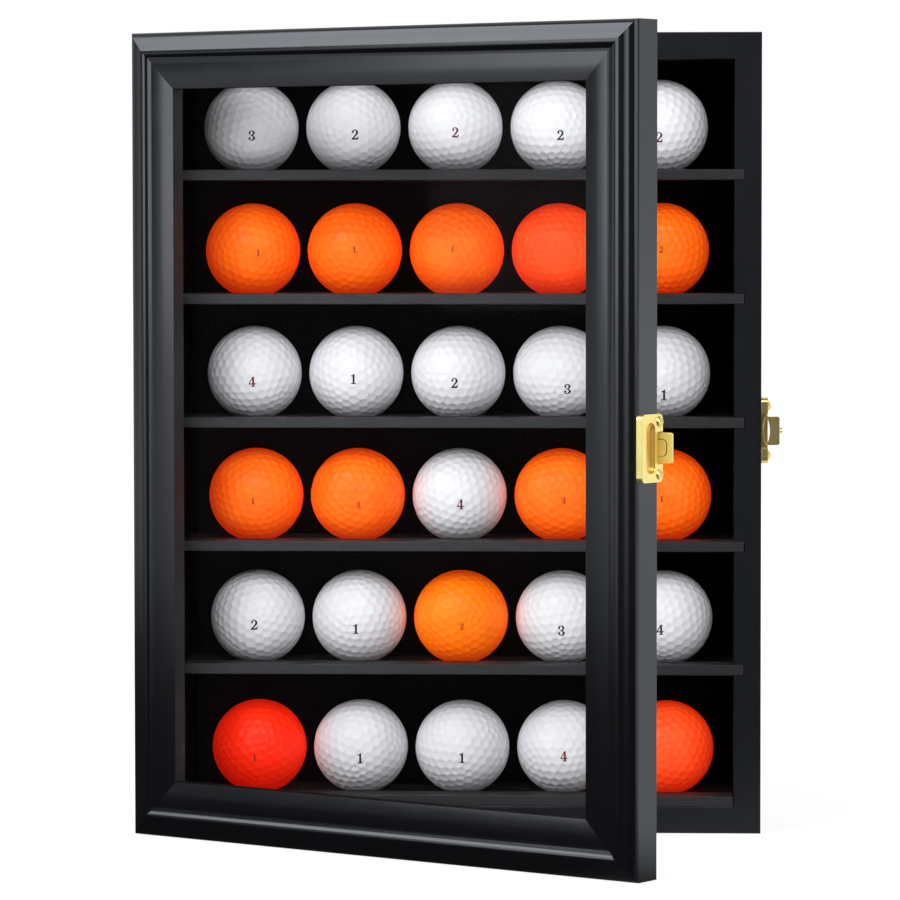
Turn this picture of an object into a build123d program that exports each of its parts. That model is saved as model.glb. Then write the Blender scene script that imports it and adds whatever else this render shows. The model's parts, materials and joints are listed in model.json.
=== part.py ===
from build123d import *
import os

os.makedirs("parts", exist_ok=True)

# Frame: +Z up, the front of the case faces -Y, X = 0 is the middle of the case, Z = 0 its underside.
# The origin is the middle of the case's bottom face. All lengths are millimetres, all angles degrees.

# ---- Balls and the room around them ----
ball_diameter = 42.67
ball_columns = 5
ball_gap = 3.53               # between neighbouring balls of a row
end_gap = 10.265              # between an end ball and the side board
ball_front_gap = 4.665        # from the case's front plane back to the balls
ball_back_gap = 3.665         # from the balls back to the lining
headroom = 10.24              # above the balls, under the next shelf
top_headroom = 8.48           # above the balls of the top row
bottom_headroom = 13.94       # above the balls of the bottom row
seat_depth = 2.2              # how deep the balls stand in the groove along a shelf
seat_clearance = 0.2
row_drift = 0.58              # the loose balls of a row stand this much further right than those above

# ---- Shelves ----
shelf_count = 5
shelf_thickness = 4.7
groove_depth = 4.7            # the grooves in the sides that the shelves slide into
groove_clearance = 0.1        # above and below a shelf in its groove
shelf_end_clearance = 0.3
shelf_back_clearance = 0.2

# ---- Case ----
board_thickness = 12.0
back_panel_thickness = 3.0
back_panel_bearing = 3.0      # how far the panel's rebate is cut into each board
back_lining_thickness = 1.0
panel_clearance = 0.3         # all round a sheet in its rebate or between boards

# ---- Door moulding, across its face from the sight edge to the outer side ----
face_width = 10.0             # the broad face, which rises slowly from the sight edge
cove_width = 4.0              # a shallow hollow that leads to the flank
flank_width = 0.7             # the short steep climb to the crest
crest_width = 2.9
step_width = 1.4              # falls away outside the crest
reed_width = 3.0
fall_width = 1.0
edge_round_width = 2.0
# Depths below the crest
sight_drop = 1.75
face_mid_drop = 1.2
face_drop = 1.02
cove_mid_drop = 1.0
cove_drop = 0.75
flank_drop = 0.24
crest_drop = 0.2
step_drop = 0.76
reed_mid_drop = 1.15
reed_drop = 1.47
fall_drop = 1.88
edge_round_mid_drop = 2.9
edge_round_drop = 4.28
edge_round_mid_inset = 0.65   # from the outer side to the middle of the edge's round

# ---- Door ----
door_side_margin = 0.5        # the door is this much narrower than the case at each side
door_end_margin = 0.5         # and this much shorter at top and bottom
door_gap = 0.6                # between the case and the closed door
door_open_angle = 33.5        # how far the door stands open as modelled
lip_thickness = 6.9           # wood in front of the pane
pane_rebate_width = 8.0
pane_thickness = 2.0
pane_clearance = 0.5
bead_thickness = 3.5          # the strips that hold the pane in its rebate
bead_sight_setback = 4.4      # and how far they stay back from the sight edge
bead_back_setback = 3.45      # and inside the door's back plane

# ---- Hinges ----
hinge_height = 25.0
leaf_width = 10.5             # the part of a leaf that lies on the wood
leaf_thickness = 0.9
mortise_clearance = 0.1
barrel_radius = 2.0
barrel_offset = 0.3           # barrel surface clear of the case's side
knuckle_count = 3
knuckle_gap = 0.2
pin_radius = 0.9
pin_clearance = 0.05
pin_head_radius = 1.5
pin_head_thickness = 0.8

# ---- Screws ----
screw_shank_radius = 1.0
screw_head_radius = 1.8
screw_head_depth = 0.8        # height of the countersunk cone
screw_length = 9.0
screw_clearance = 0.05
screw_slot_width = 0.5
screw_slot_depth = 0.4
hinge_screw_spacing = 15.0

# ---- Catch ----
catch_height_above_middle = 1.6
catch_plate_rise = 3.0        # how far a plate stands off the wood
catch_plate_depth = 15.5      # front to back
door_plate_height = 28.4
case_plate_height = 29.3
catch_corner_radius = 2.2
catch_base_thickness = 0.8
tab_reach = 8.2               # how far a finger tab stands off the wood
tab_height = 12.8
tab_thickness = 0.9
tab_corner_radius = 1.0
notch_depth = 4.0             # recess in a plate behind its tab or for the keeper
notch_clearance = 0.3
channel_width = 6.4
channel_height = 21.0
channel_depth = 1.2
channel_end_flat = 0.8        # straight part of the channel's rounded ends
channel_setback = 5.8         # channel's near side from the seam
catch_slot_width = 1.8
catch_slot_height = 16.0
catch_slot_setback = 0.6      # slot from the channel's near side
catch_screw_setback = 2.6     # catch screws from the seam
catch_screw_spacing = 22.0
dome_radius = 2.4
dome_height = 1.4
tongue_clearance = 0.15
tongue_width = 4.8
tongue_height = 6.8
tongue_corner_radius = 2.2
tongue_proud = 0.3            # the tongue's face in front of its tab
prong_thickness = 1.5
prong_height = 5.0
keeper_height = 14.8
keeper_width = 3.8
keeper_wall = 0.6
keeper_end_wall = 1.2
keeper_offset = 0.6           # keeper clear of the case's side
keeper_button_radius = 1.3
keeper_button_length = 1.2
keeper_button_root = 1.2      # the button's hold on its tab
keeper_button_sink = 0.2

# ---- Wall hangers ----
hanger_side_margin = 0.5      # a plate's sides from the outside of the case and from the panel's rebate
hanger_height = 34.0
hanger_thickness = 1.2
hanger_end_flat = 1.0         # straight part of a plate's rounded ends
hanger_top_distance = 12.0    # top of the plate below the top of the case
hanger_entry_radius = 2.9
hanger_slot_radius = 1.5
hanger_slot_rise = 9.0
hanger_pocket_depth = 7.0
hanger_screw_spacing = 27.0

overcut = 1.0                 # how far a cutting shape runs past the surface that it cuts

# ---- Worked out from the above ----
ball_radius = ball_diameter / 2
ball_pitch = ball_diameter + ball_gap
ball_standing = ball_diameter - seat_depth
case_width = (ball_columns - 1) * ball_pitch + ball_diameter + 2 * (end_gap + board_thickness)
case_depth = ball_front_gap + ball_diameter + ball_back_gap + back_lining_thickness + back_panel_thickness
shelf_pitch = ball_standing + headroom + shelf_thickness
base_shelf_top = board_thickness + shelf_thickness
lowest_shelf_top = base_shelf_top + ball_standing + bottom_headroom + shelf_thickness
shelf_tops = [lowest_shelf_top + shelf_pitch * (shelf_count - 1 - i) for i in range(shelf_count)]
row_tops = shelf_tops + [base_shelf_top]
column_x = [ball_pitch * (i - (ball_columns - 1) / 2) for i in range(ball_columns)]
ceiling = shelf_tops[0] + ball_standing + top_headroom
case_height = ceiling + board_thickness

front = -case_depth / 2
back = case_depth / 2
half_width = case_width / 2
inner_half_width = half_width - board_thickness
lining_front = back - back_panel_thickness - back_lining_thickness
shelf_back = lining_front - shelf_back_clearance
ball_y = front + ball_front_gap + ball_radius

# The moulding's stations, as distances from the sight edge
cove_end = face_width + cove_width
flank_end = cove_end + flank_width
crest_end = flank_end + crest_width
step_end = crest_end + step_width
reed_end = step_end + reed_width
fall_end = reed_end + fall_width
moulding_width = fall_end + edge_round_width
pane_front_height = pane_thickness + bead_thickness + bead_back_setback
moulding_thickness = pane_front_height + lip_thickness + sight_drop

door_back = front - door_gap
door_half_width = half_width - door_side_margin
door_low, door_high = door_end_margin, case_height - door_end_margin
door_width = 2 * door_half_width
door_height = door_high - door_low
hinge_x = -half_width - barrel_offset - barrel_radius
hinge_y = front - door_gap / 2
hinge_heights = {
    "upper": (shelf_tops[0] + ceiling) / 2,
    "lower": (base_shelf_top + lowest_shelf_top - shelf_thickness) / 2,
}
catch_z = case_height / 2 + catch_height_above_middle
keeper_middle = keeper_offset + keeper_width / 2
tongue_reach = door_gap + notch_depth - notch_clearance


def open_door(shape):
    """Turns a shape from the closed position to where the door stands."""
    swing = Pos(hinge_x, hinge_y, 0) * Rot(0, 0, -door_open_angle) * Pos(-hinge_x, -hinge_y, 0)
    return swing * shape


def save(name, *shapes):
    """Writes one node. Several solids stay separate solids of the node."""
    solids = [solid for shape in shapes for solid in shape.solids()]
    node = solids[0] if len(solids) == 1 else Compound(children=solids)
    node.label = name
    export_step(node, f"parts/{name}.step")


def block(x0, x1, y0, y1, z0, z1):
    return Pos((x0 + x1) / 2, (y0 + y1) / 2, (z0 + z1) / 2) * Box(abs(x1 - x0), abs(y1 - y0), abs(z1 - z0))


def rod_y(radius, x, y0, y1, z):
    """A cylinder along Y from y0 to y1."""
    return Pos(x, (y0 + y1) / 2, z) * Rot(90, 0, 0) * Cylinder(radius, abs(y1 - y0))


def rod_x(radius, x0, x1, y, z):
    """A cylinder along X from x0 to x1."""
    return Pos((x0 + x1) / 2, y, z) * Rot(0, 90, 0) * Cylinder(radius, abs(x1 - x0))


def prism_xz(points, y0, y1):
    """Extrudes a polygon of (x, z) points from y0 to y1."""
    face = make_face(Polyline([(x, y0, z) for x, z in points], close=True))
    return Solid.extrude(face.faces()[0], Vector(0, y1 - y0, 0))


# ---- Screws ----
def countersunk(clearance=0.0, length=screw_length, slotted=True):
    """A wood screw standing on its tip, head up, with the head's face at Z = 0."""
    head_low, head_high = screw_shank_radius + clearance, screw_head_radius + clearance
    head = Pos(0, 0, -screw_head_depth / 2) * Cone(head_low, head_high, screw_head_depth)
    shank = Pos(0, 0, -length / 2) * Cylinder(screw_shank_radius + clearance, length)
    screw = head + shank
    if slotted:
        screw -= Box(2 * screw_head_radius + overcut, screw_slot_width, 2 * screw_slot_depth)
    return screw


def domed(clearance=0.0, length=screw_length, slotted=True):
    """A screw with a domed head that stands on the surface Z = 0."""
    shank = Pos(0, 0, -length / 2) * Cylinder(screw_shank_radius + clearance, length)
    if not slotted:
        return shank
    sphere_radius = (dome_radius**2 + dome_height**2) / (2 * dome_height)
    dome = Pos(0, 0, dome_height - sphere_radius) * Sphere(sphere_radius)
    dome &= Pos(0, 0, dome_height / 2) * Cylinder(2 * dome_radius, dome_height)
    slot = Pos(0, 0, dome_height) * Box(2 * dome_radius + overcut, screw_slot_width, 2 * screw_slot_depth)
    return dome - slot + shank


def facing_front(x, y, z):
    return Pos(x, y, z) * Rot(90, 0, 0)


def facing_back(x, y, z):
    return Pos(x, y, z) * Rot(-90, 0, 0)


def facing_right(x, y, z):
    return Pos(x, y, z) * Rot(0, 90, 0)


hinge_screw_x = -half_width + leaf_width / 2
hinge_screw_heights = [z + side * hinge_screw_spacing / 2 for z in hinge_heights.values() for side in (-1, 1)]
case_hinge_spots = [facing_front(hinge_screw_x, front, z) for z in hinge_screw_heights]
door_hinge_spots = [facing_back(hinge_screw_x, door_back, z) for z in hinge_screw_heights]
catch_screw_heights = [catch_z + side * catch_screw_spacing / 2 for side in (-1, 1)]
case_catch_spots = [
    facing_right(half_width + catch_plate_rise, front + catch_screw_setback, z) for z in catch_screw_heights
]
door_catch_spots = [
    facing_right(door_half_width + catch_plate_rise, door_back - catch_screw_setback, z)
    for z in catch_screw_heights
]
hanger_land = board_thickness - back_panel_bearing
hanger_width = hanger_land - 2 * hanger_side_margin
hanger_x = half_width - hanger_land / 2
hanger_top = case_height - hanger_top_distance
hanger_middle = hanger_top - hanger_height / 2
hanger_entry_z = hanger_middle - hanger_slot_rise / 2
hanger_spots = [
    facing_back(side * hanger_x, back, hanger_middle + end * hanger_screw_spacing / 2)
    for side in (-1, 1)
    for end in (-1, 1)
]


# ---- Case boards ----
def mitred_board(turn, length, across):
    """A board of the case's frame with 45 degree ends, made along the bottom and then turned into place."""
    half, reach = length / 2, across / 2
    t = board_thickness
    outline = [(-half, -reach), (half, -reach), (half - t, t - reach), (t - half, t - reach)]
    board = prism_xz(outline, front, back)
    return Pos(0, 0, case_height / 2) * Rot(0, turn, 0) * board


def back_rebate():
    reach = inner_half_width + back_panel_bearing
    low = board_thickness - back_panel_bearing
    return block(-reach, reach, back - back_panel_thickness, back + overcut, low, case_height - low)


def shelf_grooves():
    reach = inner_half_width + groove_depth
    rise = groove_clearance
    return [
        block(-reach, reach, front - overcut, back, top - shelf_thickness - rise, top + rise)
        for top in shelf_tops
    ]


def hinge_mortise(z, y_face, y_depth):
    half = hinge_height / 2 + mortise_clearance
    x_end = -half_width + leaf_width + mortise_clearance
    return block(-half_width - overcut, x_end, y_face, y_depth, z - half, z + half)


def hanger_pocket(side):
    """The shallow seat of a keyhole plate and the deeper pocket that the wall screw's head runs in."""
    x = side * hanger_x
    half = hanger_width / 2 + mortise_clearance
    seat_low, seat_high = hanger_top - hanger_height - mortise_clearance, hanger_top + mortise_clearance
    seat = block(x - half, x + half, back - hanger_thickness, back + overcut, seat_low, seat_high)
    radius = hanger_entry_radius
    floor = back - hanger_pocket_depth
    low_z, high_z = hanger_entry_z, hanger_entry_z + hanger_slot_rise
    ends = rod_y(radius, x, floor, back, low_z) + rod_y(radius, x, floor, back, high_z)
    return seat + ends + block(x - radius, x + radius, floor, back, low_z, high_z)


case_holes = [spot * countersunk(screw_clearance, slotted=False) for spot in case_hinge_spots + hanger_spots]
case_holes += [spot * domed(screw_clearance, slotted=False) for spot in case_catch_spots]

bottom_board = mitred_board(0, case_width, case_height) - back_rebate()
top_board = mitred_board(180, case_width, case_height) - back_rebate()
side_left = mitred_board(90, case_height, case_width)
side_right = mitred_board(-90, case_height, case_width)
for cut in [back_rebate(), *shelf_grooves(), *case_holes]:
    side_left -= cut
    side_right -= cut
side_left -= hanger_pocket(-1)
side_right -= hanger_pocket(1)
for z in hinge_heights.values():
    side_left -= hinge_mortise(z, front - overcut, front + leaf_thickness)

save("bottom_board", bottom_board)
save("top_board", top_board)
save("side_left", side_left)
save("side_right", side_right)

panel_half_width = inner_half_width + back_panel_bearing - panel_clearance
panel_low = board_thickness - back_panel_bearing + panel_clearance
back_panel = block(
    -panel_half_width, panel_half_width, back - back_panel_thickness, back, panel_low, case_height - panel_low
)
save("back_panel", back_panel)

lining_half_width = inner_half_width - panel_clearance
lining_low = board_thickness + panel_clearance
back_lining = block(
    -lining_half_width, lining_half_width, lining_front, lining_front + back_lining_thickness,
    lining_low, case_height - lining_low,
)
save("back_lining", back_lining)


# ---- Shelves and balls ----
def shelf(top, half_length):
    """A shelf with its top at the given height and a groove along it that the balls stand in."""
    plank = block(-half_length, half_length, front, shelf_back, top - shelf_thickness, top)
    reach = half_length + overcut
    return plank - rod_x(ball_radius + seat_clearance, -reach, reach, ball_y, top + ball_radius - seat_depth)


shelf_half_length = inner_half_width + groove_depth - shelf_end_clearance
for number, top in enumerate(shelf_tops, 1):
    save(f"shelf_{number}", shelf(top, shelf_half_length))
save("base_shelf", shelf(base_shelf_top, inner_half_width - shelf_end_clearance))

for row, top in enumerate(row_tops, 1):
    shift = row_drift * (row - (len(row_tops) + 1) / 2)
    for column, x in enumerate(column_x, 1):
        place = Pos(x + shift, ball_y, top + ball_radius - seat_depth)
        save(f"ball_r{row}_c{column}", place * Sphere(ball_radius))


# ---- Door ----
def moulding_section():
    """The moulding's cross-section: X from the outer side inwards, Y up from the door's back."""
    width, crest = moulding_width, moulding_thickness

    def at(distance, drop):
        """The point this far from the sight edge and below the crest."""
        return (width - distance, crest - drop)

    sight, face_end = at(0, sight_drop), at(face_width, face_drop)
    face_mid = at(face_width / 2, face_mid_drop)
    cove_mid, cove_out = at((face_width + cove_end) / 2, cove_mid_drop), at(cove_end, cove_drop)
    flank_top = at(flank_end, flank_drop)
    crest_mid, crest_out = at((flank_end + crest_end) / 2, 0), at(crest_end, crest_drop)
    step_out = at(step_end, step_drop)
    reed_mid, reed_out = at((step_end + reed_end) / 2, reed_mid_drop), at(reed_end, reed_drop)
    fall_out = at(fall_end, fall_drop)
    round_mid = at(width - edge_round_mid_inset, edge_round_mid_drop)
    side_top = at(width, edge_round_drop)
    with BuildSketch() as section:
        with BuildLine():
            Line((0, 0), side_top)
            ThreePointArc(side_top, round_mid, fall_out)
            Line(fall_out, reed_out)
            ThreePointArc(reed_out, reed_mid, step_out)
            Line(step_out, crest_out)
            ThreePointArc(crest_out, crest_mid, flank_top)
            Line(flank_top, cove_out)
            ThreePointArc(cove_out, cove_mid, face_end)
            ThreePointArc(face_end, face_mid, sight)
            Line(sight, (width, pane_front_height))
            Line((width, pane_front_height), (width - pane_rebate_width, pane_front_height))
            Line((width - pane_rebate_width, pane_front_height), (width - pane_rebate_width, 0))
            Line((width - pane_rebate_width, 0), (0, 0))
        make_face()
    return section.sketch


def moulding(length):
    """One mitred member lying along +X from 0 to length: outer side at Z = 0, inwards +Z, its front -Y."""
    section_plane = Plane(origin=(0, 0, 0), x_dir=(0, 0, 1), z_dir=(1, 0, 0))
    bar = extrude(section_plane * moulding_section(), length)
    w = moulding_width
    mitred = [(0, 0), (length, 0), (length - w, w), (w, w)]
    return bar & prism_xz(mitred, -moulding_thickness - overcut, overcut)


def door_member(length, turn, corner_x, corner_z):
    return Pos(corner_x, door_back, corner_z) * Rot(0, turn, 0) * moulding(length)


door_bottom_rail = door_member(door_width, 0, -door_half_width, door_low)
door_top_rail = door_member(door_width, 180, door_half_width, door_high)
door_hinge_stile = door_member(door_height, 90, -door_half_width, door_high)
door_latch_stile = door_member(door_height, -90, door_half_width, door_low)

for spot in door_hinge_spots:
    door_hinge_stile -= spot * countersunk(screw_clearance, slotted=False)
for z in hinge_heights.values():
    door_hinge_stile -= hinge_mortise(z, door_back - leaf_thickness, door_back + overcut)
for spot in door_catch_spots:
    door_latch_stile -= spot * domed(screw_clearance, slotted=False)

save("door_bottom_rail", open_door(door_bottom_rail))
save("door_top_rail", open_door(door_top_rail))
save("door_hinge_stile", open_door(door_hinge_stile))
save("door_latch_stile", open_door(door_latch_stile))

pane_reach = moulding_width - pane_rebate_width + pane_clearance
pane_half_width = door_half_width - pane_reach
pane_low, pane_high = door_low + pane_reach, door_high - pane_reach
pane_front = door_back - pane_front_height
pane_back = pane_front + pane_thickness
door_pane = block(-pane_half_width, pane_half_width, pane_front, pane_back, pane_low, pane_high)
save("door_pane", open_door(door_pane))

bead_front, bead_back = pane_back, pane_back + bead_thickness
bead_width = pane_rebate_width - pane_clearance - bead_sight_setback
inner_half = pane_half_width - bead_width
inner_low, inner_high = pane_low + bead_width, pane_high - bead_width
pane_beads = [
    block(-pane_half_width, -inner_half, bead_front, bead_back, pane_low, pane_high),
    block(inner_half, pane_half_width, bead_front, bead_back, pane_low, pane_high),
    block(-inner_half, inner_half, bead_front, bead_back, pane_low, inner_low),
    block(-inner_half, inner_half, bead_front, bead_back, inner_high, pane_high),
]
save("pane_beads", *[open_door(bead) for bead in pane_beads])


# ---- Hinges ----
knuckle_height = hinge_height / knuckle_count


def knuckle_rows(z, leaf):
    """The height ranges of the knuckles of one leaf: 0 is the case's leaf, 1 the door's."""
    low = z - hinge_height / 2
    rows = []
    for i in range(leaf, knuckle_count, 2):
        start = low + i * knuckle_height + (knuckle_gap / 2 if i > 0 else 0)
        end = low + (i + 1) * knuckle_height - (knuckle_gap / 2 if i < knuckle_count - 1 else 0)
        rows.append((start, end))
    return rows


def hinge_leaf(z, leaf, spots):
    y0 = front if leaf == 0 else door_back - leaf_thickness
    y1 = y0 + leaf_thickness
    x_end = -half_width + leaf_width
    body = block(-half_width, x_end, y0, y1, z - hinge_height / 2, z + hinge_height / 2)
    for low, high in knuckle_rows(z, leaf):
        middle, height = (low + high) / 2, high - low
        body += block(hinge_x, -half_width, y0, y1, low, high)
        body += Pos(hinge_x, hinge_y, middle) * Cylinder(barrel_radius, height)
        body -= Pos(hinge_x, hinge_y, middle) * Cylinder(pin_radius + pin_clearance, height)
    for spot in spots:
        body -= spot * countersunk(screw_clearance, slotted=False)
    return body


for name, z in hinge_heights.items():
    save(f"{name}_hinge_case_leaf", hinge_leaf(z, 0, case_hinge_spots))
    save(f"{name}_hinge_door_leaf", open_door(hinge_leaf(z, 1, door_hinge_spots)))


def hinge_pin(z):
    pin = Cylinder(pin_radius, hinge_height)
    for side in (-1, 1):
        pin += Pos(0, 0, side * (hinge_height + pin_head_thickness) / 2) * Cylinder(
            pin_head_radius, pin_head_thickness
        )
    return Pos(hinge_x, hinge_y, z) * pin


save("hinge_pins", *[hinge_pin(z) for z in hinge_heights.values()])


# ---- Catch ----
# Both halves are built out from the wood's side face, beside the seam between the door and the case.
def rounded_plate(height, x_face, y_seam, direction):
    """A plate on the side of the wood, rising from it, that starts at the seam."""
    y_far = y_seam + direction * catch_plate_depth
    low, high = catch_z - height / 2, catch_z + height / 2
    plate = block(x_face, x_face + catch_plate_rise, y_seam, y_far, low, high)
    return fillet(plate.edges().filter_by(Axis.X), catch_corner_radius)


def tab(x_face, y_seam, direction, reach_from, reach_to):
    y_far = y_seam + direction * tab_thickness
    half = tab_height / 2
    plate = block(x_face + reach_from, x_face + reach_to, y_seam, y_far, catch_z - half, catch_z + half)
    outer = plate.edges().filter_by(Axis.Y).group_by(Axis.X)[-1]
    return fillet(outer, tab_corner_radius)


def d_shape(x_face, y0, y1, grow):
    """A D lying on its back: straight side towards the wood, round side away from it."""
    x_low = x_face + keeper_middle - tongue_width / 2 - grow
    x_high = x_face + keeper_middle + tongue_width / 2 + grow
    half = tongue_height / 2 + grow
    shape = block(x_low, x_high, y0, y1, catch_z - half, catch_z + half)
    outer = shape.edges().filter_by(Axis.Y).group_by(Axis.X)[-1]
    return fillet(outer, tongue_corner_radius + grow)


door_x, case_x = door_half_width, half_width
notch_half = tab_height / 2 + notch_clearance

latch_door_plate = rounded_plate(door_plate_height, door_x, door_back, -1)
latch_door_plate -= block(
    door_x + catch_base_thickness, door_x + catch_plate_rise + overcut,
    door_back - notch_depth, door_back + overcut,
    catch_z - notch_half, catch_z + notch_half,
)
channel_near, channel_far = door_back - channel_setback, door_back - channel_setback - channel_width
channel = block(
    door_x + catch_plate_rise - channel_depth, door_x + catch_plate_rise + overcut,
    channel_near, channel_far,
    catch_z - channel_height / 2, catch_z + channel_height / 2,
)
latch_door_plate -= fillet(channel.edges().filter_by(Axis.X), (channel_width - channel_end_flat) / 2)
slot_near = channel_near - catch_slot_setback
latch_door_plate -= block(
    door_x + catch_base_thickness, door_x + catch_plate_rise, slot_near, slot_near - catch_slot_width,
    catch_z - catch_slot_height / 2, catch_z + catch_slot_height / 2,
)
latch_door_plate += tab(door_x, door_back, -1, 0, tab_reach)
latch_door_plate -= d_shape(case_x, door_back - notch_depth, door_back + overcut, tongue_clearance)
for spot in door_catch_spots:
    latch_door_plate -= spot * domed(screw_clearance, slotted=False)
save("latch_door_plate", open_door(latch_door_plate))

tongue_face = door_back - tab_thickness - tongue_proud
latch_tongue = d_shape(case_x, tongue_face, door_back, 0)
prong_middle = case_x + keeper_middle
latch_tongue += block(
    prong_middle - prong_thickness / 2, prong_middle + prong_thickness / 2,
    tongue_face, door_back + tongue_reach,
    catch_z - prong_height / 2, catch_z + prong_height / 2,
)
save("latch_tongue", open_door(latch_tongue))

keeper_notch_half = keeper_height / 2 + notch_clearance
latch_case_plate = rounded_plate(case_plate_height, case_x, front, 1)
latch_case_plate -= block(
    case_x, case_x + catch_plate_rise + overcut, front - overcut, front + notch_depth,
    catch_z - keeper_notch_half, catch_z + keeper_notch_half,
)
for spot in case_catch_spots:
    latch_case_plate -= spot * domed(screw_clearance, slotted=False)
save("latch_case_plate", latch_case_plate)


def eye(width, height, y0, y1):
    """A pointed oval standing on end beside the case's side, from y0 to y1."""
    x_mid = case_x + keeper_middle
    with BuildSketch(Plane(origin=(x_mid, y0, catch_z), x_dir=(1, 0, 0), z_dir=(0, 1, 0))) as outline:
        with BuildLine():
            ThreePointArc((0, -height / 2), (width / 2, 0), (0, height / 2))
            ThreePointArc((0, height / 2), (-width / 2, 0), (0, -height / 2))
        make_face()
    return extrude(outline.sketch, y1 - y0)


latch_keeper = eye(keeper_width, keeper_height, front, front + notch_depth)
latch_keeper += tab(case_x, front, 1, keeper_middle, tab_reach)
latch_keeper -= eye(
    keeper_width - 2 * keeper_wall, keeper_height - 2 * keeper_end_wall,
    front - overcut, front + notch_depth + overcut,
)
button_y = front + tab_thickness + keeper_button_radius - keeper_button_sink
button_start, button_end = case_x + tab_reach - keeper_button_root, case_x + tab_reach + keeper_button_length
latch_keeper += rod_x(keeper_button_radius, button_start, button_end, button_y, catch_z)
save("latch_keeper", latch_keeper)


# ---- Wall hangers ----
def hanger(side):
    x = side * hanger_x
    half = hanger_width / 2
    plate = block(x - half, x + half, back - hanger_thickness, back, hanger_top - hanger_height, hanger_top)
    plate = fillet(plate.edges().filter_by(Axis.Y), (hanger_width - hanger_end_flat) / 2)
    rise = hanger_entry_z + hanger_slot_rise
    plate -= rod_y(hanger_entry_radius, x, back - hanger_thickness, back, hanger_entry_z)
    plate -= rod_y(hanger_slot_radius, x, back - hanger_thickness, back, rise)
    plate -= block(
        x - hanger_slot_radius, x + hanger_slot_radius, back - hanger_thickness, back, hanger_entry_z, rise
    )
    for spot in hanger_spots:
        plate -= spot * countersunk(screw_clearance, slotted=False)
    return plate


save("wall_hangers", hanger(-1), hanger(1))

# ---- Screws ----
save(
    "case_screws",
    *[spot * countersunk() for spot in case_hinge_spots + hanger_spots],
    *[spot * domed() for spot in case_catch_spots],
)
save(
    "door_screws",
    *[open_door(spot * countersunk()) for spot in door_hinge_spots],
    *[open_door(spot * domed()) for spot in door_catch_spots],
)
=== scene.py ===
import bpy
import bmesh
import json
import random
from math import cos, pi, radians, sin, sqrt
from mathutils import Euler, Matrix, Vector
from mathutils.kdtree import KDTree

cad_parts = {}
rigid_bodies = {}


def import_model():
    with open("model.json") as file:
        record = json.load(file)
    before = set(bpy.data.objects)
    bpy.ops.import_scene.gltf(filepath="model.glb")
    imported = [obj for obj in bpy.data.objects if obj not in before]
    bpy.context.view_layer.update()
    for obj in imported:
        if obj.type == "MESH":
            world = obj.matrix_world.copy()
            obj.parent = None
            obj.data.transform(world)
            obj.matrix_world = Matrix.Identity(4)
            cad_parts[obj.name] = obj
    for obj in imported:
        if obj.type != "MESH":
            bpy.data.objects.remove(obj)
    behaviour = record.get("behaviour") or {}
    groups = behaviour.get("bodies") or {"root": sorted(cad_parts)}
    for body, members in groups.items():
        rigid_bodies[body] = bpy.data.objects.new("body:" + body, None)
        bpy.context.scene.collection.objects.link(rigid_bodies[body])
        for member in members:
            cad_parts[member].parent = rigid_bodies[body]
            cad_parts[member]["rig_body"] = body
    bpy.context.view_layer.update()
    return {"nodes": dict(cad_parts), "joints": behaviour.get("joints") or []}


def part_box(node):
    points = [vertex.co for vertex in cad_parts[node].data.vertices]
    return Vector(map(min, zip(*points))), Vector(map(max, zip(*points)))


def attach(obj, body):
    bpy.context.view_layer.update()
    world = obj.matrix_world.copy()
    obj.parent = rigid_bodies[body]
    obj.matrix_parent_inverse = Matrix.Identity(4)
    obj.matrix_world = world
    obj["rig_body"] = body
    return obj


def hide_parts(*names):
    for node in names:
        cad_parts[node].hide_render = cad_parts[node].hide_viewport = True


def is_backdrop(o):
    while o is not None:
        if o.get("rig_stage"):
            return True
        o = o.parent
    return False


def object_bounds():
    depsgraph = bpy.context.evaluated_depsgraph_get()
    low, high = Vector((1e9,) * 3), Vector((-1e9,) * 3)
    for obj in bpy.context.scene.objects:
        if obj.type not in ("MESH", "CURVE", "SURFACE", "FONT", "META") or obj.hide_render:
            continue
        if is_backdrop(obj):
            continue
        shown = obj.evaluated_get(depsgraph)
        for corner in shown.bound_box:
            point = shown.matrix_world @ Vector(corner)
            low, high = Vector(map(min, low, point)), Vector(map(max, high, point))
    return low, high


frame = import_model()
scene = bpy.context.scene
scene.view_settings.view_transform = "Standard"
cad_nodes = frame["nodes"]
MM = 0.001

# ---- Directions. The door stands open at rest, and its joint's lower limit shuts it ----
door_swing = radians(-frame["joints"][0]["range_deg"][0])
to_latch = Vector((cos(door_swing), -sin(door_swing), 0))
outward = Vector((-sin(door_swing), -cos(door_swing), 0))
upwards = Vector((0, 0, 1))

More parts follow.
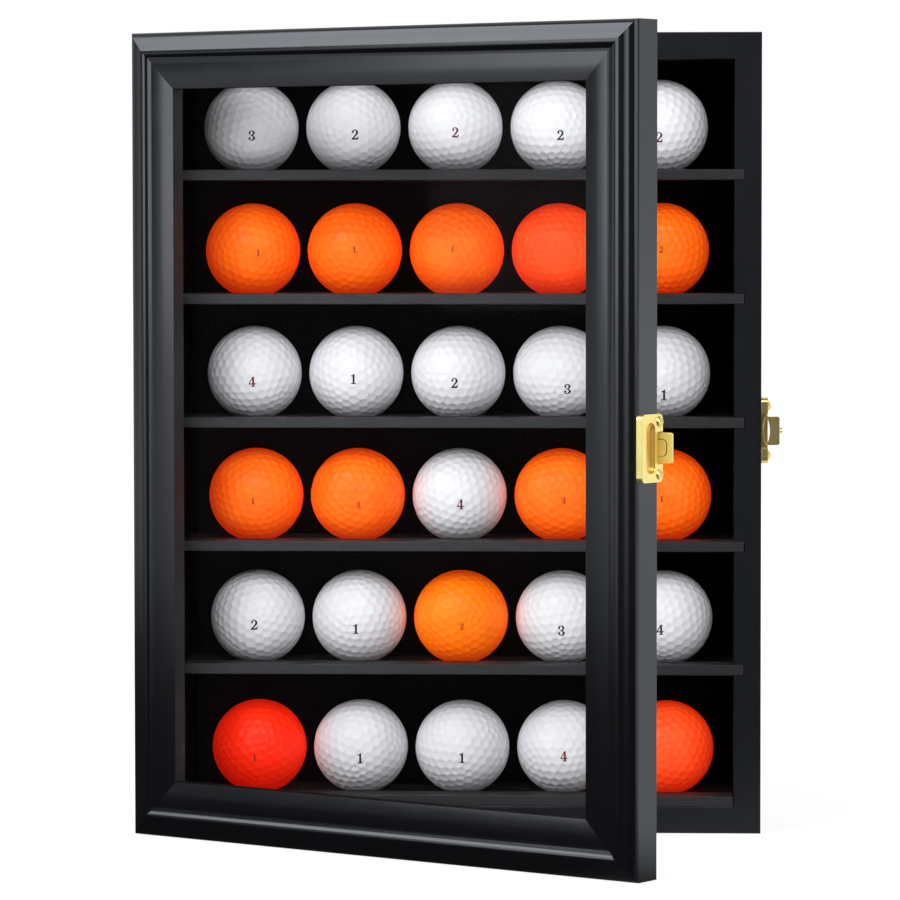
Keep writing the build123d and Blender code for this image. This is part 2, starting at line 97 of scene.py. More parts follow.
# ---- The balls, by row and column ----
# Each ball: its colour, its numeral, the numeral's ink, and how far the numeral lies right of and above the
# middle of the side that the ball turns to the camera, in millimetres.
BLACK, RED, MAROON, FAINT = "black_ink", "red_ink", "maroon_ink", "faint_ink"
BALLS = [
    [("white", "3", BLACK, 0.2, -3.4), ("white", "2", BLACK, 0.8, -3.0), ("white", "2", MAROON, 0.0, -2.1),
     ("white", "2", BLACK, 1.3, -3.4), ("white", "2", MAROON, -0.6, -4.4)],
    [("orange", "1", FAINT, 2.3, -0.9), ("orange", "1", FAINT, -0.2, 0.4), ("orange", "1", FAINT, -1.9, 0.9),
     ("red_orange", "", FAINT, 0, 0), ("orange", "2", FAINT, -0.2, 0.4)],
    [("white", "4", RED, -1.0, -4.1), ("white", "1", BLACK, -1.3, -2.8), ("white", "2", BLACK, -1.6, -4.5),
     ("white", "3", BLACK, 3.3, -7.3), ("white", "1", BLACK, 0.5, -9.8)],
    [("orange", "1", FAINT, -1.6, -2.8), ("orange", "3", FAINT, 0.3, -4.6), ("white", "4", MAROON, 0.5, -4.2),
     ("orange", "3", FAINT, 0.9, -2.4), ("orange", "1", FAINT, -1.0, -1.5)],
    [("white", "2", BLACK, -1.7, -3.8), ("white", "1", BLACK, -1.6, -5.6),
     ("bright_orange", "2", FAINT, 0.4, -4.3), ("white", "3", BLACK, -0.6, -6.1),
     ("white", "4", BLACK, -2.1, -5.6)],
    [("red", "1", FAINT, -2.3, -5.6), ("white", "1", BLACK, -0.4, -5.6), ("white", "1", BLACK, -0.2, -5.1),
     ("white", "4", RED, 0.1, -4.3), ("red_orange", "", FAINT, 0, 0)],
]

# ---- Camera: a long lens, level with the upper shelves and a little right of the case ----
camera_place = Vector((0.0944, -2.1411, 0.2780))
camera_turn = (87.134, 0.062, 2.638)
camera_data = bpy.data.cameras.new("camera")
camera_data.lens = 189.23
camera_data.sensor_width = 36.0
camera_data.clip_start, camera_data.clip_end = 0.1, 60.0
camera = bpy.data.objects.new("camera", camera_data)
camera.location = camera_place
camera.rotation_euler = Euler([radians(a) for a in camera_turn])
scene.collection.objects.link(camera)
scene.camera = camera


# ---- Node trees ----
class Nodes:
    """The node tree of a material or world, with short helpers."""

    def __init__(self, owner):
        owner.use_nodes = True
        self.tree = owner.node_tree

    def add(self, kind, *sources, **settings):
        """
        A node whose first inputs take the sources, each an output or a number. A setting is the value of the
        input of that name, or else an attribute.
        """
        node = self.tree.nodes.new("ShaderNode" + kind)
        for name, value in settings.items():
            socket = name.replace("_", " ")
            if socket in node.inputs:
                node.inputs[socket].default_value = value
            else:
                setattr(node, name, value)
        for source, target in zip(sources, node.inputs):
            if isinstance(source, float):
                target.default_value = source
            else:
                self.link(source, target)
        return node

    def link(self, source, target):
        self.tree.links.new(source, target)

    def spot(self, space="Object"):
        return self.add("TexCoord").outputs[space]

    def math(self, operation, *sources):
        return self.add("Math", *sources, operation=operation).outputs["Value"]

    def along(self, factor, start, end, low, high):
        """A number that goes from low to high as the factor goes from start to end."""
        spread = self.add("MapRange", factor, From_Min=start, From_Max=end, To_Min=low, To_Max=high)
        return spread.outputs["Result"]

    def mix(self, factor, first, second):
        return self.add("MixShader", factor, first, second).outputs["Shader"]

    def either_ray(self, one, other):
        """1 for rays of two kinds, by their names in Light Path."""
        rays = self.add("LightPath")
        return self.math("MAXIMUM", rays.outputs[one], rays.outputs[other])


class Paint(Nodes):
    """A material with one Principled shader, and helpers for its procedural detail."""

    def __init__(self, name, colour, roughness, **sockets):
        self.material = bpy.data.materials.new(name)
        super().__init__(self.material)
        self.shader = self.tree.nodes["Principled BSDF"]
        self.shader.inputs["Base Color"].default_value = (*colour, 1)
        self.shader.inputs["Roughness"].default_value = roughness
        for socket, value in sockets.items():
            self.shader.inputs[socket.replace("_", " ")].default_value = value
        self.normal = None

    def noise(self, scale, detail=3.0, rough=0.5, stretch=(1, 1, 1), turn=0.0):
        """Noise over the object, stretched, and turned about Z."""
        place = self.add("Mapping", self.spot(), Scale=stretch, Rotation=(0, 0, turn)).outputs["Vector"]
        return self.add("TexNoise", place, Scale=scale, Detail=detail, Roughness=rough).outputs["Fac"]

    def colour(self, factor, low, high):
        """The base colour between two, by a noise, which keeps mostly between 0.3 and 0.7."""
        ramp = self.add("ValToRGB", factor)
        for element, colour, at in zip(ramp.color_ramp.elements, (low, high), (0.3, 0.7)):
            element.position = at
            element.color = (*colour, 1)
        self.link(ramp.outputs["Color"], self.shader.inputs["Base Color"])

    def roughness(self, factor, low, high):
        self.link(self.along(factor, 0.0, 1.0, low, high), self.shader.inputs["Roughness"])

    def bump(self, height, distance):
        """Adds one layer of relief, in metres, over what is there."""
        bump = self.add("Bump", Distance=distance)
        self.link(height, bump.inputs["Height"])
        if self.normal is not None:
            self.link(self.normal, bump.inputs["Normal"])
        self.normal = bump.outputs["Normal"]
        self.link(self.normal, self.shader.inputs["Normal"])

    def surface(self, shader):
        self.link(shader, self.tree.nodes["Material Output"].inputs["Surface"])


# ---- Materials ----
# The lacquer's reflections are tinted cool: a painted tint that stands in for the cool colour of the lamps'
# light
cool_light_tint = (0.86, 0.91, 1.0, 1)
roughness_spread = 0.04
ALONG_X, ALONG_Z = (0.02, 1, 1), (1, 1, 0.02)


def painted(name, colour, roughness, shine, grain, turn=0.0):
    """Black satin lacquer over fine grained wood: a slight haze, faint grain and orange peel."""
    # Its reflections take the painted cool tint of the lamps' light
    paint = Paint(name, colour, roughness, Specular_IOR_Level=shine, Specular_Tint=cool_light_tint)
    paint.colour(paint.noise(14.0, detail=4.0), [c * 0.85 for c in colour], [c * 1.2 for c in colour])
    wear = paint.noise(60.0, detail=5.0)
    paint.roughness(wear, roughness - roughness_spread, roughness + roughness_spread)
    paint.bump(paint.noise(900.0, detail=2.0), 0.006 * MM)
    paint.bump(paint.noise(420.0, detail=3.0, stretch=grain, turn=turn), 0.012 * MM)
    return paint.material


# Black felt kept darker than felt itself: partly the lining's own black and partly painted shade of the
# case's deep interior
def felt():
    paint = Paint("black_felt", (0.001, 0.001, 0.001), 0.95, Specular_IOR_Level=0.1)
    paint.colour(paint.noise(700.0, detail=4.0), (0.0003, 0.0003, 0.0004), (0.0014, 0.0014, 0.0017))
    paint.bump(paint.noise(2500.0, detail=3.0), 0.2 * MM)
    return paint.material


def hardboard():
    paint = Paint("hardboard", (0.03, 0.024, 0.019), 0.75)
    flecks = paint.noise(500.0, detail=6.0, rough=0.7, stretch=(1, 1, 0.5))
    paint.colour(flecks, (0.016, 0.013, 0.011), (0.05, 0.038, 0.028))
    paint.bump(flecks, 0.08 * MM)
    return paint.material


def brass(name, low, high, roughness, metal=0.92):
    """Brass under a thin lacquer, which takes a little from the metal."""
    paint = Paint(name, high, roughness, Metallic=metal)
    paint.colour(paint.noise(120.0, detail=4.0), low, high)
    wear = paint.noise(300.0, detail=4.0)
    paint.roughness(wear, roughness - roughness_spread, roughness + roughness_spread)
    paint.bump(paint.noise(1200.0, detail=2.0), 0.008 * MM)
    return paint.material


def zinc():
    paint = Paint("zinc_plate", (0.62, 0.63, 0.66), 0.35, Metallic=1.0)
    paint.colour(paint.noise(250.0, detail=5.0), (0.50, 0.51, 0.54), (0.72, 0.73, 0.76))
    paint.roughness(paint.noise(500.0, detail=4.0), 0.25, 0.45)
    paint.bump(paint.noise(900.0, stretch=ALONG_Z), 0.01 * MM)
    return paint.material


def clear_sheet():
    """Clear acrylic with an anti-glare coat, which lets the lamps' light through."""
    faint = (0.04, 0.04, 0.04, 1)
    paint = Paint("clear_acrylic", (1, 1, 1), 0.02, Transmission_Weight=1.0, IOR=1.16, Specular_Tint=faint)
    paint.roughness(paint.noise(30.0, detail=2.0), 0.0, 0.03)
    clear = paint.add("BsdfTransparent").outputs["BSDF"]
    lamp_light = paint.either_ray("Is Shadow Ray", "Is Diffuse Ray")
    paint.surface(paint.mix(lamp_light, paint.shader.outputs["BSDF"], clear))
    return paint.material


def ball_coat(name, low, high, painted_glow=0.0, painted_glow_colour=(1, 1, 1)):
    """A golf ball's clear coated cover, slightly cloudy and scuffed. Coloured covers get a painted glow: a
    little red emission that stands in for light.
    """
    paint = Paint(name, high, 0.45, Specular_IOR_Level=0.12, Coat_Weight=0.1, Coat_Roughness=0.1)
    paint.colour(paint.noise(90.0, detail=4.0), low, high)
    paint.roughness(paint.noise(700.0, detail=4.0), 0.38, 0.5)
    paint.bump(paint.noise(4000.0, detail=2.0), 0.008 * MM)
    if painted_glow:
        paint.shader.inputs["Emission Color"].default_value = (*painted_glow_colour, 1)
        paint.shader.inputs["Emission Strength"].default_value = painted_glow
    return paint.material


def ink(name, colour):
    paint = Paint(name, colour, 0.5, Specular_IOR_Level=0.2)
    paint.colour(paint.noise(900.0, detail=3.0), colour, [c * 1.4 + 0.001 for c in colour])
    return paint.material


deep_black, board_colour = (0.0012, 0.0013, 0.0017), (0.0045, 0.0049, 0.006)
stile_black = painted("stile_lacquer", deep_black, 0.17, 0.8, ALONG_Z, door_swing)
rail_black = painted("rail_lacquer", deep_black, 0.17, 0.8, ALONG_X, door_swing)
side_black = painted("side_lacquer", board_colour, 0.3, 0.38, ALONG_Z)
board_black = painted("board_lacquer", board_colour, 0.3, 0.38, ALONG_X)
shelf_black = painted("shelf_lacquer", (0.0095, 0.0095, 0.0095), 0.5, 0.4, ALONG_X)
lip_black = painted("lip_lacquer", (0.002, 0.002, 0.0022), 0.85, 0.1, ALONG_Z)
lip_satin = painted("lip_satin", (0.0035, 0.0035, 0.004), 0.5, 0.5, ALONG_Z)
satin_brass = brass("satin_brass", (0.98, 0.78, 0.25), (1.0, 0.87, 0.36), 0.24)
polished_brass = brass("polished_brass", (0.92, 0.68, 0.22), (1.0, 0.82, 0.38), 0.14)
# Paler, less metallic brass: a painted highlight that makes the catch's tab and tongue read as lit
highlight_brass = brass("highlight_brass", (1.0, 0.84, 0.22), (1.0, 0.90, 0.30), 0.38, metal=0.5)
# Deeper orange brass: painted shade for the floor of the catch plate's channel
channel_shade_brass = brass("channel_shade_brass", (0.80, 0.42, 0.08), (0.92, 0.55, 0.14), 0.3)
# Near-black brass: painted shade on the walls round the catch's tongue
outline_shade_brass = brass("outline_shade_brass", (0.10, 0.05, 0.01), (0.18, 0.10, 0.02), 0.4)
felt_and_shade_black, hardboard_brown, zinc_grey, clear = felt(), hardboard(), zinc(), clear_sheet()
# On the coloured covers the last two values are a painted red glow, its strength and colour
ball_coats = {
    "white": ball_coat("white_cover", (0.78, 0.785, 0.825), (0.84, 0.845, 0.88)),
    "orange": ball_coat("orange_cover", (0.98, 0.15, 0.005), (1.0, 0.21, 0.009), 0.36, (1.0, 0.02, 0.0)),
    "bright_orange": ball_coat(
        "bright_orange_cover", (1.0, 0.20, 0.004), (1.0, 0.25, 0.004), 0.36, (1.0, 0.04, 0.0)
    ),
    "red_orange": ball_coat(
        "red_orange_cover", (0.98, 0.08, 0.012), (1.0, 0.115, 0.02), 0.4, (1.0, 0.01, 0.0)
    ),
    "red": ball_coat("red_cover", (0.95, 0.022, 0.003), (1.0, 0.038, 0.006), 0.35, (1.0, 0.005, 0.0)),
}
inks = {
    BLACK: ink(BLACK, (0.002, 0.002, 0.003)),
    RED: ink(RED, (0.12, 0.002, 0.005)),
    MAROON: ink(MAROON, (0.07, 0.003, 0.007)),
    FAINT: ink(FAINT, (0.035, 0.004, 0.001)),
}


# ---- Pieces that stand for rigid CAD nodes ----
weld_reach = 1e-7             # points this close are one
flat_angle = 0.6              # degrees; faces that meet flatter than this are one
sharp_angle = 40.0            # edges sharper than this are rounded off
plain_crease = 35.0           # edges sharper than this are drawn as edges
moulding_crease = 14.0        # and on the mouldings, whose steps stay crisp
mitre_slack = 0.01
# How squarely a face looks one way, as a cosine
lip_cosine, plate_cosine, wall_cosine = 0.95, 0.9, 0.4
# How much of an edge is rounded off
board_round = 0.5 * MM
shelf_round = 0.35 * MM
bead_round = 0.3 * MM
catch_round = 0.22 * MM
sheet_round = 0.2 * MM        # the sheets at the back, and the hinge pins' heads
hanger_round = 0.15 * MM
moulding_round = 0.12 * MM
leaf_round = 0.12 * MM
fine_round = 0.1 * MM         # the pane and the catch's tongue
screw_round = 0.08 * MM
# On the catch's door plate, down from the tab's end
tab_reach = 5.0 * MM          # the tab's end to where the tab leaves the plate
channel_reach = 5.8 * MM      # the tab's end to a depth between the plate's face and its channel's floor


def shade_smooth(mesh):
    for polygon in mesh.polygons:
        polygon.use_smooth = True


def finished_mesh(name, shape):
    """The mesh of a bmesh shape, which is then freed."""
    mesh = bpy.data.meshes.new(name)
    shape.to_mesh(mesh)
    shape.free()
    shade_smooth(mesh)
    return mesh


def piece(name, mesh, material, body, place=(0, 0, 0), turn=(1, 0, 0, 0)):
    """
    A new piece that rides on a body. Its mesh lies in the row frame, or about its place there, turned by a
    quaternion.
    """
    thing = bpy.data.objects.new(name, mesh)
    scene.collection.objects.link(thing)
    if len(mesh.materials) == 0:
        mesh.materials.append(material)
    thing.material_slots[0].link = "OBJECT"
    thing.material_slots[0].material = material
    thing.location = place
    thing.rotation_mode = "QUATERNION"
    thing.rotation_quaternion = turn
    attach(thing, body)
    return thing


def on_mitre(face, swing):
    """True for a face cut at 45 degrees across a board or moulding of a frame that is turned about Z."""
    normal = Matrix.Rotation(swing, 3, "Z") @ face.normal
    return abs(normal.y) < mitre_slack and abs(abs(normal.x) - abs(normal.z)) < mitre_slack


def softened(node, material, width, segments=3, crease=plain_crease, frame_swing=None, accents=()):
    """
    Stands in for a CAD node: the same solid with its sharp edges rounded off, apart from its mitres. Each
    accent is a further material and a test that picks the faces that wear it.
    """
    shape = bmesh.new()
    shape.from_mesh(cad_nodes[node].data)
    bmesh.ops.remove_doubles(shape, verts=shape.verts, dist=weld_reach)
    bmesh.ops.dissolve_limit(shape, angle_limit=radians(flat_angle), verts=shape.verts, edges=shape.edges)
    sharp = [
        edge for edge in shape.edges
        if len(edge.link_faces) == 2 and edge.calc_face_angle(0) > radians(sharp_angle)
    ]
    if frame_swing is not None:
        sharp = [edge for edge in sharp if not any(on_mitre(face, frame_swing) for face in edge.link_faces)]
    bmesh.ops.bevel(
        shape, geom=sharp, offset=width, segments=segments, profile=0.5, affect="EDGES", clamp_overlap=True
    )
    mesh = finished_mesh(node + "_edges", shape)
    mesh.set_sharp_from_angle(angle=radians(crease))
    mesh.materials.clear()
    mesh.materials.append(material)
    for index, (accent, picks) in enumerate(accents, 1):
        mesh.materials.append(accent)
        for polygon in mesh.polygons:
            if picks(polygon):
                polygon.material_index = index
    thing = piece(node + "_finished", mesh, material, cad_nodes[node]["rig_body"])
    flat = thing.modifiers.new("flat faces stay flat", "WEIGHTED_NORMAL")
    flat.mode = "FACE_AREA"
    flat.keep_sharp = True
    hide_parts(node)


for node in ("side_left", "side_right"):
    softened(node, side_black, board_round, frame_swing=0.0)
for node in ("top_board", "bottom_board"):
    softened(node, board_black, board_round, frame_swing=0.0)
for node in [name for name in cad_nodes if name.startswith("shelf_")] + ["base_shelf"]:
    softened(node, shelf_black, shelf_round)
softened("back_panel", hardboard_brown, sheet_round)
# The lining's felt is darkened with painted shade
softened("back_lining", felt_and_shade_black, sheet_round)


def lip(direction, lacquer=lip_black):
    """The wall of the door's opening that looks in one direction, which is duller."""
    return [(lacquer, lambda face: face.normal.dot(direction) > lip_cosine)]


for node, accents in (("door_hinge_stile", lip(to_latch, lip_satin)), ("door_latch_stile", lip(-to_latch))):
    softened(node, stile_black, moulding_round, 3, moulding_crease, door_swing, accents)
for node, accents in (("door_top_rail", lip(-upwards)), ("door_bottom_rail", lip(upwards))):
    softened(node, rail_black, moulding_round, 3, moulding_crease, door_swing, accents)
softened("pane_beads", rail_black, bead_round)
softened("door_pane", clear, fine_round)
for side in ("case", "door"):
    for place in ("upper", "lower"):
        softened(f"{place}_hinge_{side}_leaf", polished_brass, leaf_round)
softened("hinge_pins", polished_brass, sheet_round)
tab_end = max(corner.co.dot(to_latch) for corner in cad_nodes["latch_door_plate"].data.vertices)


def in_channel(face):
    """The floor of the catch plate's channel, which wears a deeper orange brass as painted shade in the
    recess.
    """
    return face.normal.dot(to_latch) > plate_cosine and face.center.dot(to_latch) < tab_end - channel_reach


def on_tab(face):
    """The finger tab's two broad faces, which wear a paler brass as a painted highlight."""
    return abs(face.normal.dot(outward)) > plate_cosine and face.center.dot(to_latch) > tab_end - tab_reach


def round_the_tongue(face):
    """The narrow walls round the tongue, which wear a dark brass as painted shade and so draw its outline on
    the tab.
    """
    return abs(face.normal.dot(outward)) < wall_cosine


# On the door plate the channel's floor wears painted shade and the tab a painted highlight
plate_accents = [(channel_shade_brass, in_channel), (highlight_brass, on_tab)]
softened("latch_door_plate", satin_brass, catch_round, accents=plate_accents)
# The tongue wears the paler brass of a painted highlight
softened("latch_tongue", highlight_brass, fine_round, accents=[(outline_shade_brass, round_the_tongue)])
for node in ("latch_case_plate", "latch_keeper"):
    softened(node, polished_brass, catch_round)
softened("case_screws", polished_brass, screw_round, segments=2)
softened("door_screws", satin_brass, screw_round, segments=2)
softened("wall_hangers", zinc_grey, hanger_round)

# ---- Dimpled balls ----
dimple_rows = 6               # steps along an edge of the icosahedron that the dimples follow
mesh_steps = 8                # mesh steps from one dimple's middle to the next
dimple_depth = 0.36 * MM
dimple_share = 0.49           # a dimple's radius, as a share of the way to the nearest other dimple
ball_low, ball_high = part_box("ball_r1_c1")
ball_radius = (ball_high.x - ball_low.x) / 2


def geodesic(steps):
    """Directions and triangles of an icosahedron whose edges are cut into steps."""
    golden = (1 + sqrt(5)) / 2
    corners = [
        Vector(v).normalized()
        for s in (-1, 1) for t in (-golden, golden) for v in ((0, s, t), (s, t, 0), (t, 0, s))
    ]
    reach = min((a - corners[0]).length for a in corners[1:]) * 1.01
    near = [
        [j for j, b in enumerate(corners) if j != i and (b - a).length < reach] for i, a in enumerate(corners)
    ]
    faces = [
        (i, j, k) for i in range(len(corners)) for j in near[i] for k in near[j] if i < j < k and k in near[i]
    ]
    points, places, triangles = [], {}, []

    def spot(weights):
        key = tuple(sorted((c, w) for c, w in weights if w))
        if key not in places:
            total = sum((corners[c] * w for c, w in key), Vector())
            places[key] = len(points)
            points.append(total.normalized())
        return places[key]

    for a, b, c in faces:
        if (corners[b] - corners[a]).cross(corners[c] - corners[a]).dot(corners[a]) < 0:
            b, c = c, b

        def at(p, q):
            return spot(((a, steps - p - q), (b, p), (c, q)))

        for i in range(steps):
            for j in range(steps - i):
                triangles.append((at(i, j), at(i + 1, j), at(i, j + 1)))
                if i + j < steps - 1:
                    triangles.append((at(i + 1, j), at(i + 1, j + 1), at(i, j + 1)))
    return points, triangles


dimple_middles, _ = geodesic(dimple_rows)
dimple_tree = KDTree(len(dimple_middles))
for index, middle in enumerate(dimple_middles):
    dimple_tree.insert(middle, index)
dimple_tree.balance()
dimple_radii = [dimple_tree.find_n(middle, 2)[1][2] * dimple_share for middle in dimple_middles]


def dimpled_radius(direction):
    """The ball's radius in a direction from its middle."""
    _, index, distance = dimple_tree.find(direction)
    share = distance / dimple_radii[index]
    if share >= 1:
        return ball_radius
    bowl = 1 - share * share
    return ball_radius - dimple_depth * bowl


def ball_mesh():
    directions, triangles = geodesic(dimple_rows * mesh_steps)
    mesh = bpy.data.meshes.new("dimpled_ball")
    mesh.from_pydata([d * dimpled_radius(d) for d in directions], [], triangles)
    shade_smooth(mesh)
    return mesh


# ---- Numerals ----
# Outlines one unit high. True marks a corner, False a point that the line runs smoothly through.
NUMERALS = {
    "1": [[(0.20, 0.0, True), (0.80, 0.0, True), (0.80, 0.04, True), (0.60, 0.07, True), (0.60, 1.0, True),
           (0.54, 1.0, True), (0.40, 0.90, False), (0.18, 0.84, True), (0.18, 0.80, True), (0.41, 0.81, True),
           (0.41, 0.07, True), (0.20, 0.04, True)]],
    "2": [[(0.08, 0.0, True), (0.82, 0.0, True), (0.88, 0.27, True), (0.83, 0.27, True), (0.77, 0.15, False),
           (0.62, 0.12, True), (0.27, 0.12, True), (0.60, 0.38, False), (0.84, 0.70, False),
           (0.48, 1.0, False), (0.12, 0.77, False), (0.20, 0.65, False), (0.31, 0.73, False),
           (0.28, 0.87, False), (0.46, 0.95, False), (0.64, 0.70, False), (0.43, 0.38, False),
           (0.08, 0.06, True)]],
    "3": [[(0.12, 0.78, False), (0.21, 0.67, False), (0.31, 0.76, False), (0.28, 0.89, False),
           (0.46, 0.955, False), (0.63, 0.76, False), (0.52, 0.57, False), (0.33, 0.535, True),
           (0.33, 0.495, True), (0.54, 0.47, False), (0.67, 0.26, False), (0.44, 0.045, False),
           (0.25, 0.12, False), (0.31, 0.23, False), (0.20, 0.33, False), (0.09, 0.21, False),
           (0.45, 0.0, False), (0.88, 0.27, False), (0.64, 0.525, False), (0.83, 0.76, False),
           (0.47, 1.0, False)]],
    "4": [[(0.50, 1.0, True), (0.66, 1.0, True), (0.66, 0.32, True), (0.88, 0.32, True), (0.88, 0.25, True),
           (0.66, 0.25, True), (0.66, 0.06, True), (0.80, 0.035, True), (0.80, 0.0, True), (0.34, 0.0, True),
           (0.34, 0.035, True), (0.48, 0.06, True), (0.48, 0.25, True), (0.04, 0.25, True),
           (0.04, 0.32, True)],
          [(0.48, 0.32, True), (0.11, 0.32, True), (0.48, 0.86, True)]],
}
numeral_middle = 0.5          # across and up
numeral_squeeze = 0.82        # the numerals are condensed
numeral_boldness = 0.022      # how far each edge of a stroke is moved out
numeral_weld = 1e-5           # points of the outline this close are one
ink_height = 0.03 * MM        # ink above the cover
ink_grid = 0.35 * MM          # the numeral's mesh follows the dimples this finely
white_numeral_height = 4.4 * MM
orange_numeral_height = 2.8 * MM


def numeral_shape(text):
    """The numeral as a flat mesh, in units of its height."""
    curve = bpy.data.curves.new("numeral", "CURVE")
    curve.dimensions = "2D"
    curve.fill_mode = "BOTH"
    curve.resolution_u = 6
    curve.offset = numeral_boldness
    for outline in NUMERALS[text]:
        spline = curve.splines.new("BEZIER")
        spline.bezier_points.add(len(outline) - 1)
        for point, (x, y, corner) in zip(spline.bezier_points, outline):
            point.co = ((x - numeral_middle) * numeral_squeeze, y - numeral_middle, 0)
            kind = "VECTOR" if corner else "AUTO"
            point.handle_left_type = point.handle_right_type = kind
        spline.use_cyclic_u = True
    drawn = bpy.data.objects.new("numeral", curve)
    scene.collection.objects.link(drawn)
    bpy.context.view_layer.update()
    mesh = bpy.data.meshes.new_from_object(drawn.evaluated_get(bpy.context.evaluated_depsgraph_get()))
    bpy.data.objects.remove(drawn)
    bpy.data.curves.remove(curve)
    return mesh


numeral_shapes = {text: numeral_shape(text) for text in NUMERALS}


def numeral_mesh(name, text, height, offset, turn, facing):
    """The numeral laid on a dimpled ball that is turned, right of and above the point that faces some way."""
    right_way = Vector((0, 0, 1)).cross(facing).normalized()
    up_way = facing.cross(right_way)
    shape = bmesh.new()
    shape.from_mesh(numeral_shapes[text])
    bmesh.ops.remove_doubles(shape, verts=shape.verts, dist=numeral_weld)
    for vertex in shape.verts:
        vertex.co = vertex.co * height
    cuts = int(height / ink_grid) + 1
    for axis in (Vector((1, 0, 0)), Vector((0, 1, 0))):
        for i in range(1, cuts):
            plane = axis * (i * ink_grid - height / 2)
            everything = shape.verts[:] + shape.edges[:] + shape.faces[:]
            bmesh.ops.bisect_plane(shape, geom=everything, plane_co=plane, plane_no=axis)
    back = turn.inverted()
    for vertex in shape.verts:
        across, up = vertex.co.x + offset[0], vertex.co.y + offset[1]
        depth = sqrt(max(ball_radius**2 - across**2 - up**2, 0))
        direction = (right_way * across + up_way * up + facing * depth).normalized()
        vertex.co = direction * (dimpled_radius(back @ direction) + ink_height)
    bmesh.ops.triangulate(shape, faces=shape.faces)
    bmesh.ops.recalc_face_normals(shape, faces=shape.faces)
    mesh = finished_mesh(name, shape)
    if sum(p.normal.dot(facing) * p.area for p in mesh.polygons) < 0:
        mesh.flip_normals()
    return mesh


shared_ball = ball_mesh()
rng = random.Random(30)
for row, line in enumerate(BALLS, 1):
    for column, (colour, text, ink_name, right, above) in enumerate(line, 1):
        node = f"ball_r{row}_c{column}"
        low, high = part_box(node)
        place, slot = (low + high) / 2, "ball_" + colour
        turn = Euler([rng.uniform(0, 2 * pi) for axis in range(3)]).to_quaternion()
        ball = piece(node + "_dimpled", shared_ball, ball_coats[colour], "case", place, turn)
        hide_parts(node)
        if text:
            height = white_numeral_height if colour == "white" else orange_numeral_height
            facing = (camera_place - place).normalized()
            mesh = numeral_mesh(node + "_numeral", text, height, (right * MM, above * MM), turn, facing)
            piece(node + "_numeral", mesh, inks[ink_name], "case", place)


# ---- Floor ----
floor_reach = 12.0
floor_grey = 0.85             # what it sends back to the object
floor_share = 0.16            # how much of its white is lamp light, which the shadow takes away
floor_glow = 0.88             # what is left of its white near the object
glow_reach = 1.2              # from here on the floor is plain white
# What lacquer and brass mirror in the floor
card_tone = 0.04              # dark cards close in front of the object
sweep_tone = 0.9              # the white sweep
sweep_start, sweep_end = -0.1, 0.25    # from front to back, where the cards turn into the sweep
right_sweep = 1.6             # how much further forward the sweep comes on the right
far_start, far_end = 1.0, 2.0          # where the cards turn into the far floor
far_tones = [                 # by azimuth, in degrees, with 0 in front and 90 on the right
    (-180, 0.55), (-72, 0.55), (-56, 0.95), (-42, 0.85), (-30, 0.12), (60, 0.12), (100, 0.5),
]


def far_floor(paint, x, y):
    """The far floor's tone as a mirror sees it, by the direction from the object."""
    azimuth = paint.math("ARCTAN2", x, paint.math("MULTIPLY", y, -1.0))
    tones = paint.add("ValToRGB", paint.along(azimuth, -pi, pi, 0.0, 1.0))
    stops = tones.color_ramp.elements
    while len(stops) < len(far_tones):
        stops.new(1.0)
    for stop, (degrees, tone) in zip(stops, far_tones):
        stop.position = 0.5 + degrees / 360
        stop.color = (tone, tone, tone, 1)
    return tones.outputs["Color"]


def floor_material():
    """
    Pale and plain. The camera sees it as white with the object's faint shadow. Glossy surfaces see the white
    sweep behind the object and on its right, and dark cards close in front of it.
    """
    paint = Paint("studio_floor", (floor_grey, floor_grey, floor_grey), 0.9, Specular_IOR_Level=0.0)
    spot = paint.spot()
    away = paint.add("VectorMath", spot, operation="LENGTH").outputs["Value"]
    parts = paint.add("SeparateXYZ", spot).outputs
    depth = paint.math("MULTIPLY_ADD", parts["X"], right_sweep, parts["Y"])
    sweep = paint.along(depth, sweep_start, sweep_end, card_tone, sweep_tone)
    beyond = paint.along(away, far_start, far_end, card_tone, 1.0)
    far = paint.math("MULTIPLY", beyond, far_floor(paint, parts["X"], parts["Y"]))
    mirrored = paint.add("Emission")
    paint.link(paint.math("MAXIMUM", sweep, far), mirrored.inputs["Strength"])
    glossy_ray = paint.add("LightPath").outputs["Is Glossy Ray"]
    unseen = paint.mix(glossy_ray, paint.shader.outputs["BSDF"], mirrored.outputs["Emission"])
    matte = paint.add("BsdfDiffuse", Color=(floor_share, floor_share, floor_share, 1)).outputs["BSDF"]
    white = paint.add("Emission")
    paint.link(paint.along(away, 0.0, glow_reach, floor_glow, 1.0), white.inputs["Strength"])
    seen = paint.add("AddShader", matte, white.outputs["Emission"]).outputs["Shader"]
    paint.surface(paint.mix(paint.either_ray("Is Camera Ray", "Is Transmission Ray"), unseen, seen))
    return paint.material


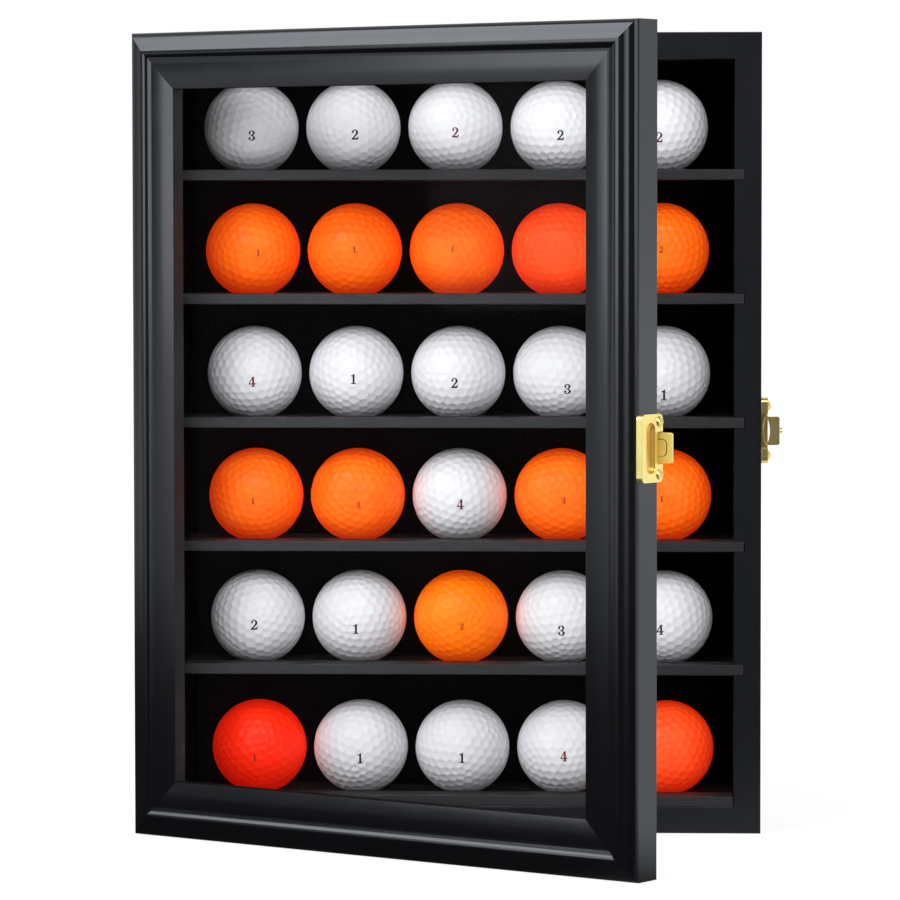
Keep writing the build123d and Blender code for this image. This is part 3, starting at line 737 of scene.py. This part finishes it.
floor_mesh = bpy.data.meshes.new("floor")
corners = [(x * floor_reach, y * floor_reach, 0) for x, y in ((-1, -1), (1, -1), (1, 1), (-1, 1))]
floor_mesh.from_pydata(corners, [], [(0, 1, 2, 3)])
floor_mesh.materials.append(floor_material())
floor = bpy.data.objects.new("floor", floor_mesh)
scene.collection.objects.link(floor)
floor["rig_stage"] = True

# ---- Light ----
aim = Vector((0, -0.05, 0.18))    # about the middle of the object, which every lamp faces
room_front, room_back = 0.07, 0.8      # the room's white in front of the object and behind it


def soft_light(name, azimuth, elevation, distance, width, height, radiance):
    """A soft box. Azimuth 0 is in front of the case and 90 on its right."""
    data = bpy.data.lights.new(name, "AREA")
    data.shape = "RECTANGLE"
    data.size, data.size_y = width, height
    data.energy = radiance * width * height * pi
    lamp = bpy.data.objects.new(name, data)
    a, e = radians(azimuth), radians(elevation)
    away = Vector((sin(a) * cos(e), -cos(a) * cos(e), sin(e)))
    lamp.location = aim + away * distance
    lamp.rotation_euler = away.to_track_quat("Z", "Y").to_euler()
    lamp.visible_camera = False
    scene.collection.objects.link(lamp)


soft_light("high_key_softbox", -58, 36, 2.1, 1.7, 1.2, 3.5)
soft_light("low_key_softbox", -52, 9, 2.1, 1.22, 0.64, 2.3)
soft_light("front_softbox", -4, 39, 2.2, 2.7, 1.1, 3.4)
soft_light("low_front_fill", 34, 13, 2.0, 1.4, 0.85, 1.7)
soft_light("right_fill", 96, 19, 2.2, 2.6, 1.8, 0.35)


def studio_world():
    """Dim in front of the object and bright behind it, and plain white where the camera looks past it."""
    world = bpy.data.worlds.new("studio")
    sky = Nodes(world)
    forward = sky.add("SeparateXYZ", sky.spot("Generated")).outputs["Y"]
    room = sky.tree.nodes["Background"]
    room.inputs["Color"].default_value = (0.97, 0.985, 1.0, 1)
    sky.link(sky.along(forward, -0.5, 1.0, room_front, room_back), room.inputs["Strength"])
    backdrop = sky.add("Background", Color=(1, 1, 1, 1), Strength=1.0).outputs["Background"]
    seen = sky.either_ray("Is Camera Ray", "Is Transmission Ray")
    mixed = sky.mix(seen, room.outputs["Background"], backdrop)
    sky.link(mixed, sky.tree.nodes["World Output"].inputs["Surface"])
    return world


scene.world = studio_world()

# ---- Bounds of the dressed object ----
low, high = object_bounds()
